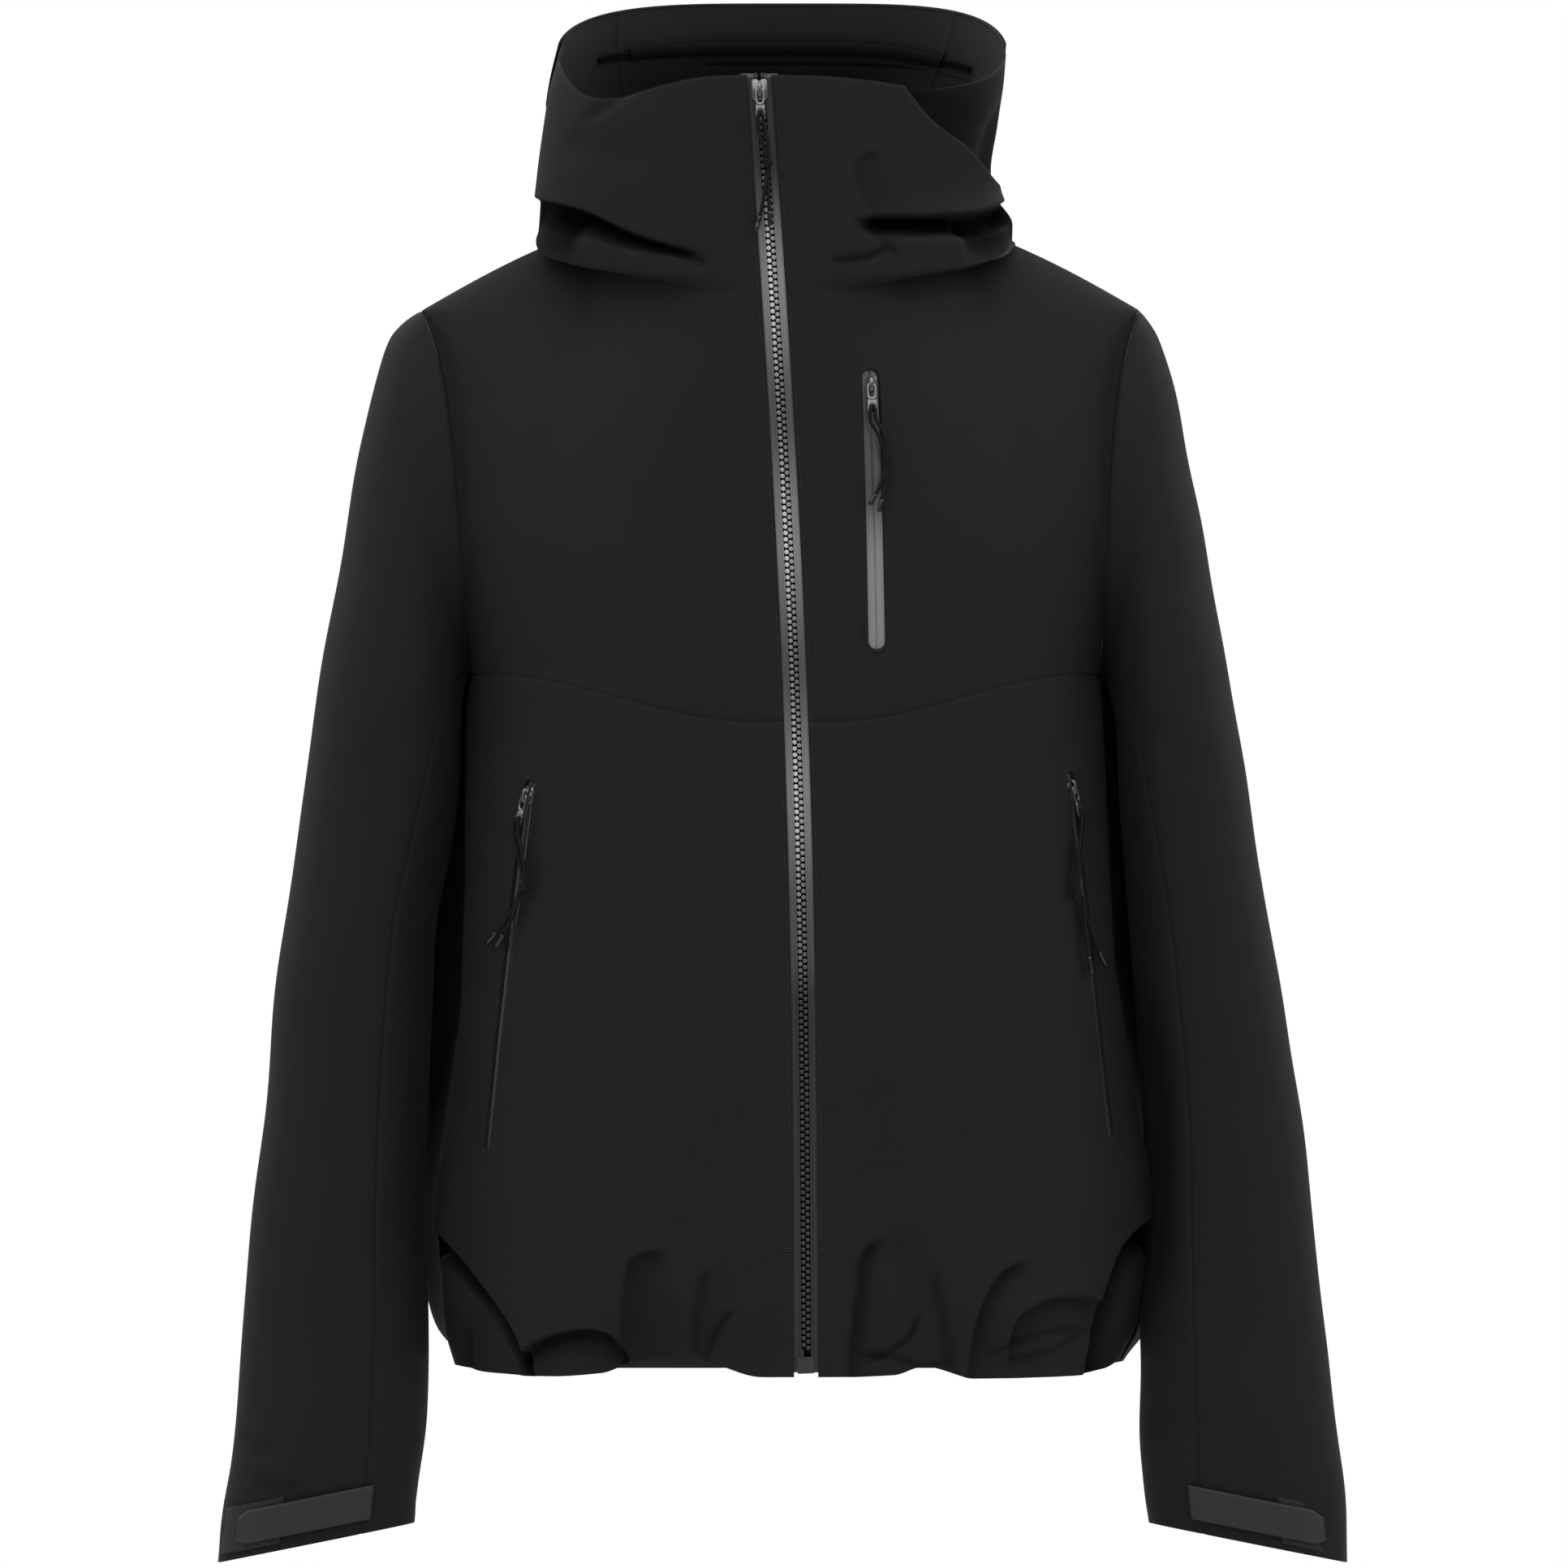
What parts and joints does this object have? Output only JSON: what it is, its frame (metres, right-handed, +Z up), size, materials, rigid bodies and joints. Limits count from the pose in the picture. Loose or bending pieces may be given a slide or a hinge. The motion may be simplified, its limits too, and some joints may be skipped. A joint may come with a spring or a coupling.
{
  "type": "ski jacket",
  "caption": "Hooded, hip-length shell jacket for skiing, with a front zip, zipped chest and hand pockets, gathered hem and adjustable cuffs.",
  "frame": {"origin": "middle of the neck opening, level with the shoulder points of the neck seam", "axes": "+Z up along the body, -Y the front with the main zip, +X the side of the wearer's left arm"},
  "size_m": [0.624, 0.255, 0.8651],
  "materials": {
    "shell_fabric": "matte",
    "inner_fabric": "matte",
    "brushed_facing": "brushed",
    "webbing": "woven",
    "zip_tape": "laminated satin",
    "zip_teeth": "moulded",
    "zip_coil": "moulded",
    "slider_metal": "satin",
    "cord": "braided",
    "trim_plastic": "matte",
    "hook_patch": "hook and loop",
    "tab_fabric": "smooth laminated"
  },
  "bodies": {
    "shell": {"front_yoke_right": "shell_fabric", "front_yoke_left": "shell_fabric", "front_body_right": "shell_fabric", "front_body_left": "shell_fabric", "back_yoke": "shell_fabric", "back_body": "shell_fabric", "collar_right": "shell_fabric", "collar_left": "shell_fabric", "neck_tape": "inner_fabric", "hang_loop": "webbing", "main_zip_tape_right": "zip_tape", "main_zip_tape_left": "zip_tape", "main_zip_teeth_right": "zip_teeth", "main_zip_teeth_left": "zip_teeth", "main_zip_top_stops": "zip_teeth", "main_zip_box": "zip_teeth", "main_zip_pin": "zip_teeth", "storm_flap": "inner_fabric", "chin_guard": "brushed_facing", "chest_zip_tape": "zip_tape", "chest_zip_coil": "zip_coil", "chest_pocket_bag": "inner_fabric", "hand_zip_tape_right": "zip_tape", "hand_zip_coil_right": "zip_coil", "hand_pocket_bag_right": "inner_fabric", "hand_zip_tape_left": "zip_tape", "hand_zip_coil_left": "zip_coil", "hand_pocket_bag_left": "inner_fabric", "hem_drawcord": "cord", "hem_cord_lock_housings": "trim_plastic"},
    "main_zip_slider": {"main_zip_slider": "slider_metal"},
    "main_zip_pull": {"main_zip_pull": "slider_metal"},
    "main_zip_cord": {"main_zip_cord": "cord"},
    "chest_zip_slider": {"chest_zip_slider": "slider_metal"},
    "chest_zip_pull": {"chest_zip_pull": "slider_metal"},
    "chest_zip_cord": {"chest_zip_cord": "cord"},
    "hand_zip_slider_right": {"hand_zip_slider_right": "slider_metal"},
    "hand_zip_pull_right": {"hand_zip_pull_right": "slider_metal"},
    "hand_zip_cord_right": {"hand_zip_cord_right": "cord"},
    "hand_zip_slider_left": {"hand_zip_slider_left": "slider_metal"},
    "hand_zip_pull_left": {"hand_zip_pull_left": "slider_metal"},
    "hand_zip_cord_left": {"hand_zip_cord_left": "cord"},
    "hood": {"hood_side_right": "shell_fabric", "hood_side_left": "shell_fabric", "hood_crown": "shell_fabric", "hood_brim": "shell_fabric", "hood_drawcord_tunnel": "inner_fabric", "hood_drawcord": "cord", "hood_cord_tabs": "trim_plastic"},
    "sleeve_right": {"sleeve_outer_right": "shell_fabric", "sleeve_under_right": "shell_fabric", "cuff_patch_right": "hook_patch"},
    "cuff_tab_right": {"cuff_tab_right": "tab_fabric"},
    "hem_lock_button_right": {"hem_cord_lock_button_right": "trim_plastic"},
    "sleeve_left": {"sleeve_outer_left": "shell_fabric", "sleeve_under_left": "shell_fabric", "cuff_patch_left": "hook_patch"},
    "cuff_tab_left": {"cuff_tab_left": "tab_fabric"},
    "hem_lock_button_left": {"hem_cord_lock_button_left": "trim_plastic"}
  },
  "joints": [
    {"name": "main_zip_slide", "type": "slide", "parent": "shell", "child": "main_zip_slider", "axis": [0.0362, -0.0362, -0.9987], "range_m": [0, 0.694]},
    {"name": "main_pull_swing", "type": "hinge", "parent": "main_zip_slider", "child": "main_zip_pull", "pos_m": [-0.01167, -0.09618, 0.08385], "axis": [-0.9993, 0, -0.0362], "range_deg": [0, 150]},
    {"name": "main_cord_swing", "type": "hinge", "parent": "main_zip_pull", "child": "main_zip_cord", "pos_m": [-0.01118, -0.0986, 0.07027], "axis": [0.0063, 0.9846, -0.1748], "range_deg": [-15, 15]},
    {"name": "chest_zip_slide", "type": "slide", "parent": "shell", "child": "chest_zip_slider", "axis": [0.0235, -0.0805, -0.9965], "range_m": [0, 0.1396]},
    {"name": "chest_pull_swing", "type": "hinge", "parent": "chest_zip_slider", "child": "chest_zip_pull", "pos_m": [0.04996, -0.09421, -0.07885], "axis": [-0.9866, -0.1629, -0.0101], "range_deg": [0, 150]},
    {"name": "chest_cord_swing", "type": "hinge", "parent": "chest_zip_pull", "child": "chest_zip_cord", "pos_m": [0.05059, -0.0972, -0.09231], "axis": [-0.1567, 0.9626, -0.2211], "range_deg": [-15, 15]},
    {"name": "hand_right_zip_slide", "type": "slide", "parent": "shell", "child": "hand_zip_slider_right", "axis": [-0.1157, 0.0783, -0.9902], "range_m": [0, 0.1911]},
    {"name": "hand_right_pull_swing", "type": "hinge", "parent": "hand_zip_slider_right", "child": "hand_zip_pull_right", "pos_m": [-0.14169, -0.07821, -0.306], "axis": [-0.6746, 0.7255, 0.1362], "range_deg": [0, 150]},
    {"name": "hand_right_cord_swing", "type": "hinge", "parent": "hand_zip_pull_right", "child": "hand_zip_cord_right", "pos_m": [-0.14467, -0.07845, -0.31948], "axis": [0.7058, 0.688, -0.1687], "range_deg": [-15, 15]},
    {"name": "hand_left_zip_slide", "type": "slide", "parent": "shell", "child": "hand_zip_slider_left", "axis": [0.1143, 0.0879, -0.9895], "range_m": [0, 0.1883]},
    {"name": "hand_left_pull_swing", "type": "hinge", "parent": "hand_zip_slider_left", "child": "hand_zip_pull_left", "pos_m": [0.16206, -0.06401, -0.3014], "axis": [-0.4991, -0.8561, -0.1337], "range_deg": [0, 150]},
    {"name": "hand_left_cord_swing", "type": "hinge", "parent": "hand_zip_pull_left", "child": "hand_zip_cord_left", "pos_m": [0.16527, -0.06379, -0.31482], "axis": [-0.8347, 0.5165, -0.1912], "range_deg": [-15, 15]},
    {"name": "hood_fold", "type": "hinge", "parent": "shell", "child": "hood", "pos_m": [0, 0.078, 0.012], "axis": [-1, 0, 0], "range_deg": [0, 30]},
    {"name": "sleeve_lift_right", "type": "hinge", "parent": "shell", "child": "sleeve_right", "pos_m": [-0.1906, 0.008, -0.033], "axis": [0, 1, 0], "range_deg": [0, 50]},
    {"name": "cuff_tab_peel_right", "type": "hinge", "parent": "sleeve_right", "child": "cuff_tab_right", "pos_m": [-0.22613, -0.04152, -0.69705], "axis": [0.1087, -0.112, 0.9877], "range_deg": [0, 130]},
    {"name": "hem_lock_press_right", "type": "slide", "parent": "shell", "child": "hem_lock_button_right", "axis": [0, 0, -1], "range_m": [0, 0.0034], "stiffness_N_per_m": 200, "springref_m": -0.002},
    {"name": "sleeve_lift_left", "type": "hinge", "parent": "shell", "child": "sleeve_left", "pos_m": [0.1906, 0.008, -0.033], "axis": [0, -1, 0], "range_deg": [0, 50]},
    {"name": "cuff_tab_peel_left", "type": "hinge", "parent": "sleeve_left", "child": "cuff_tab_left", "pos_m": [0.22613, -0.04152, -0.69705], "axis": [0.1087, 0.112, -0.9877], "range_deg": [0, 130]},
    {"name": "hem_lock_press_left", "type": "slide", "parent": "shell", "child": "hem_lock_button_left", "axis": [0, 0, -1], "range_m": [0, 0.0034], "stiffness_N_per_m": 200, "springref_m": -0.002}
  ]
}
